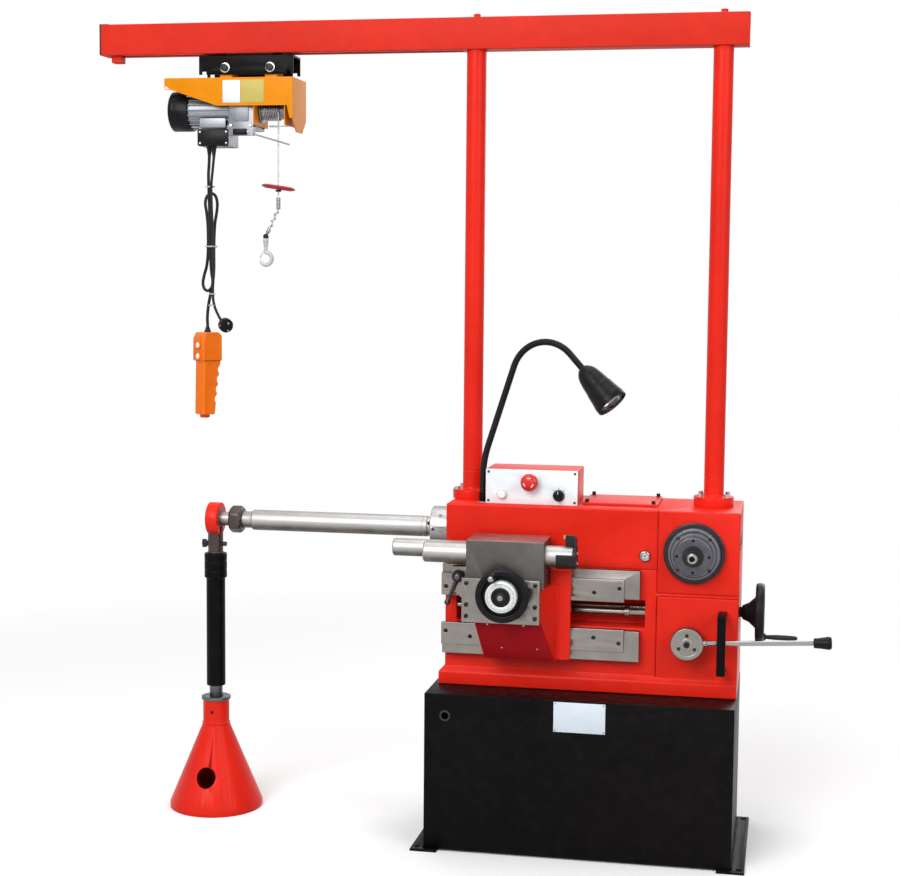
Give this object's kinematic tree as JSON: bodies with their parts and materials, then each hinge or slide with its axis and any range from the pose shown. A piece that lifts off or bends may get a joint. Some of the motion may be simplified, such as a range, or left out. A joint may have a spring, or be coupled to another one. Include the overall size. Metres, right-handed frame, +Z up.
{
  "type": "brake drum lathe",
  "caption": "Brake drum lathe on a steel cabinet, with a long arbor on a cone stand, a carriage with tool bars and handwheels, and an overhead beam with a small rope hoist.",
  "frame": {"origin": "on the floor under the middle of the cabinet, at the centre of the four anchor holes", "axes": "+X along the drum spindle from its nose towards the headstock end, +Y from the operator to the back, +Z up"},
  "size_m": [1.9137, 0.559, 2.088],
  "materials": {
    "red_paint": "gloss",
    "black_paint": "satin",
    "bare_steel": "machined",
    "dark_steel": "machined, oiled",
    "blackened_steel": "blackened",
    "chromed_steel": "polished",
    "iron": "ground, grey",
    "panel": "satin",
    "orange_paint": "gloss",
    "orange_plastic": "moulded",
    "white_plastic": "moulded",
    "red_plastic": "moulded",
    "black_plastic": "moulded",
    "cast_alloy": "cast",
    "sight_glass": "clear dome",
    "belt_rubber": "moulded",
    "cable_rubber": "smooth jacket",
    "zinc_steel": "zinc plated"
  },
  "bodies": {
    "machine": {"cabinet": "black_paint", "cabinet_rear_cover": "black_paint", "foot_rails": "black_paint", "bed_casting": "red_paint", "headstock_casting": "red_paint", "headstock_lid": "red_paint", "way_strips": "bare_steel", "socket_screws": "blackened_steel", "oil_sight": "sight_glass", "lever_guard": "black_paint", "control_box": "red_paint", "control_panel": "panel", "columns": "red_paint", "beam": "red_paint", "motor": "dark_steel", "drive_belt": "belt_rubber"},
    "drum_shaft": {"drum_spindle": "bare_steel", "arbor": "chromed_steel"},
    "nut": {"arbor_nut": "dark_steel"},
    "gearbox_input": {"input_shaft": "dark_steel"},
    "motor_drive": {"motor_pulley": "dark_steel"},
    "disc_shaft": {"disc_spindle": "dark_steel"},
    "feed_screw": {"lead_screw": "bare_steel", "side_handwheel": "black_plastic"},
    "trip": {"trip_rod": "bare_steel"},
    "lever": {"feed_lever": "bare_steel"},
    "carriage": {"saddle": "red_paint"},
    "clamp": {"saddle_clamp_lever": "blackened_steel"},
    "cross_table": {"cross_slide": "iron", "screw_bracket": "bare_steel"},
    "front_wheel": {"front_handwheel": "black_plastic"},
    "dial": {"feed_dial": "white_plastic"},
    "large_bar": {"large_tool_bar": "chromed_steel", "tool_holder": "blackened_steel"},
    "small_bar": {"small_tool_bar": "chromed_steel"},
    "stop_button": {"emergency_stop": "red_plastic"},
    "selector": {"selector_switch": "black_plastic"},
    "hoist": {"trolley": "black_paint", "hoist_cover": "orange_paint", "hoist_motor": "cast_alloy", "pendant_cable": "cable_rubber", "mains_plug": "black_plastic", "pendant_handset": "orange_plastic"},
    "left_wheels": {"left_trolley_wheels": "dark_steel"},
    "right_wheels": {"right_trolley_wheels": "dark_steel"},
    "winding_drum": {"rope_drum": "zinc_steel"},
    "hook_line": {"hoist_rope": "zinc_steel", "rope_stop_disc": "red_plastic"},
    "hook_body": {"hook": "zinc_steel"},
    "latch": {"hook_latch": "zinc_steel"},
    "push_up": {"up_button": "white_plastic"},
    "push_down": {"down_button": "white_plastic"},
    "lamp": {"lamp_gooseneck": "black_plastic", "lamp_head": "black_paint"},
    "stand": {"support_ring": "red_paint", "stand_tube": "black_paint"},
    "stand_screw": {"stand_clamp_screw": "blackened_steel"},
    "stand_foot": {"stand_inner_tube": "bare_steel", "stand_cone": "red_paint"},
    "white_button": {"start_button": "white_plastic"}
  },
  "joints": [
    {"name": "drum_spin", "type": "hinge", "parent": "machine", "child": "drum_shaft", "pos_m": [-0.4, 0.037, 0.781], "axis": [1, 0, 0], "continuous": true},
    {"name": "nut_turn", "type": "hinge", "parent": "drum_shaft", "child": "nut", "pos_m": [-0.945, 0.037, 0.781], "axis": [1, 0, 0], "continuous": true},
    {"name": "input_spin", "type": "hinge", "parent": "machine", "child": "gearbox_input", "pos_m": [0.27, 0.037, 0.691], "axis": [1, 0, 0], "continuous": true},
    {"name": "motor_spin", "type": "hinge", "parent": "machine", "child": "motor_drive", "pos_m": [0.32, 0.037, 0.158], "axis": [1, 0, 0], "continuous": true},
    {"name": "disc_spin", "type": "hinge", "parent": "machine", "child": "disc_shaft", "pos_m": [0.27, -0.1, 0.759], "axis": [0, 1, 0], "continuous": true},
    {"name": "side_wheel_turn", "type": "hinge", "parent": "machine", "child": "feed_screw", "pos_m": [0.4, -0.05, 0.609], "axis": [1, 0, 0], "range_deg": [-1440, 9360]},
    {"name": "carriage_feed", "type": "slide", "parent": "machine", "child": "carriage", "axis": [1, 0, 0], "range_m": [-0.02, 0.13]},
    {"name": "feed_lever_swing", "type": "hinge", "parent": "machine", "child": "lever", "pos_m": [0.259, -0.12, 0.541], "axis": [0, 1, 0], "range_deg": [-25, 25]},
    {"name": "trip_rod_shift", "type": "slide", "parent": "machine", "child": "trip", "axis": [1, 0, 0], "range_m": [-0.0061, 0.0061]},
    {"name": "front_wheel_turn", "type": "hinge", "parent": "cross_table", "child": "front_wheel", "pos_m": [-0.176, -0.27, 0.665], "axis": [0, 1, 0], "range_deg": [-4320, 0]},
    {"name": "cross_feed", "type": "slide", "parent": "carriage", "child": "cross_table", "axis": [0, 1, 0], "range_m": [-0.06, 0]},
    {"name": "dial_turn", "type": "hinge", "parent": "front_wheel", "child": "dial", "pos_m": [-0.176, -0.3, 0.665], "axis": [0, 1, 0], "continuous": true},
    {"name": "clamp_turn", "type": "hinge", "parent": "carriage", "child": "clamp", "pos_m": [-0.307, -0.16, 0.688], "axis": [0, 1, 0], "range_deg": [-30, 60]},
    {"name": "large_bar_slide", "type": "slide", "parent": "cross_table", "child": "large_bar", "axis": [1, 0, 0], "range_m": [-0.02, 0.06]},
    {"name": "small_bar_slide", "type": "slide", "parent": "cross_table", "child": "small_bar", "axis": [1, 0, 0], "range_m": [-0.1, 0.1]},
    {"name": "emergency_stop_push", "type": "slide", "parent": "machine", "child": "stop_button", "axis": [0, 1, 0], "range_m": [0, 0.005]},
    {"name": "start_button_push", "type": "slide", "parent": "machine", "child": "white_button", "axis": [0, 1, 0], "range_m": [0, 0.0025], "stiffness_N_per_m": 400, "springref_m": -0.002},
    {"name": "selector_turn", "type": "hinge", "parent": "machine", "child": "selector", "pos_m": [-0.072, -0.06, 0.884], "axis": [0, 1, 0], "range_deg": [-45, 45]},
    {"name": "trolley_travel", "type": "slide", "parent": "machine", "child": "hoist", "axis": [1, 0, 0], "range_m": [-0.2, 0.42]},
    {"name": "left_wheels_roll", "type": "hinge", "parent": "hoist", "child": "left_wheels", "pos_m": [-0.985, 0.034, 2.0203], "axis": [0, 1, 0], "range_deg": [-605, 1270]},
    {"name": "right_wheels_roll", "type": "hinge", "parent": "hoist", "child": "right_wheels", "pos_m": [-0.833, 0.034, 2.0203], "axis": [0, 1, 0], "range_deg": [-605, 1270]},
    {"name": "hook_lift", "type": "slide", "parent": "hoist", "child": "hook_line", "axis": [0, 0, 1], "range_m": [0, 0.1], "deforming": ["hoist_rope"]},
    {"name": "drum_wind", "type": "hinge", "parent": "hoist", "child": "winding_drum", "pos_m": [-0.837, 0.034, 1.852], "axis": [1, 0, 0], "range_deg": [-240, 0]},
    {"name": "hook_swivel", "type": "hinge", "parent": "hook_line", "child": "hook_body", "pos_m": [-0.857, 0.0097, 1.528], "axis": [0, 0, 1], "continuous": true},
    {"name": "latch_press", "type": "hinge", "parent": "hook_body", "child": "latch", "pos_m": [-0.8638, 0.0097, 1.49], "axis": [0, 1, 0], "range_deg": [-25, 0], "stiffness_Nm_per_rad": 0.01, "springref_deg": 11.46},
    {"name": "up_button_push", "type": "slide", "parent": "hoist", "child": "push_up", "axis": [0.5878, 0.809, 0], "range_m": [0, 0.003], "stiffness_N_per_m": 300, "springref_m": -0.002},
    {"name": "down_button_push", "type": "slide", "parent": "hoist", "child": "push_down", "axis": [0.5878, 0.809, 0], "range_m": [0, 0.003], "stiffness_N_per_m": 300, "springref_m": -0.002},
    {"name": "lamp_swing", "type": "hinge", "parent": "machine", "child": "lamp", "pos_m": [-0.268, -0.042, 0.88], "axis": [0, 0, 1], "range_deg": [-45, 45]},
    {"name": "stand_pull_off", "type": "slide", "parent": "machine", "child": "stand", "axis": [1, 0, 0], "range_m": [-0.12, 0.02]},
    {"name": "stand_screw_turn", "type": "hinge", "parent": "stand", "child": "stand_screw", "pos_m": [-1.006, 0.037, 0.713], "axis": [1, 0, 0], "range_deg": [-360, 360]},
    {"name": "stand_foot_adjust", "type": "slide", "parent": "stand", "child": "stand_foot", "axis": [0, 0, 1], "range_m": [0, 0.025]}
  ],
  "couplings": [
    {"joint": "input_spin", "follows": "drum_spin", "ratio": -2},
    {"joint": "motor_spin", "follows": "drum_spin", "ratio": -3.3333},
    {"joint": "disc_spin", "follows": "drum_spin", "ratio": 1},
    {"joint": "side_wheel_turn", "follows": "carriage_feed", "rad_per_m": 1256.6},
    {"joint": "front_wheel_turn", "follows": "cross_feed", "rad_per_m": 1256.6},
    {"joint": "trip_rod_shift", "follows": "feed_lever_swing", "m_per_rad": 0.0138},
    {"joint": "left_wheels_roll", "follows": "trolley_travel", "rad_per_m": 52.63},
    {"joint": "right_wheels_roll", "follows": "trolley_travel", "rad_per_m": 52.63},
    {"joint": "drum_wind", "follows": "hook_lift", "rad_per_m": -41.15}
  ]
}
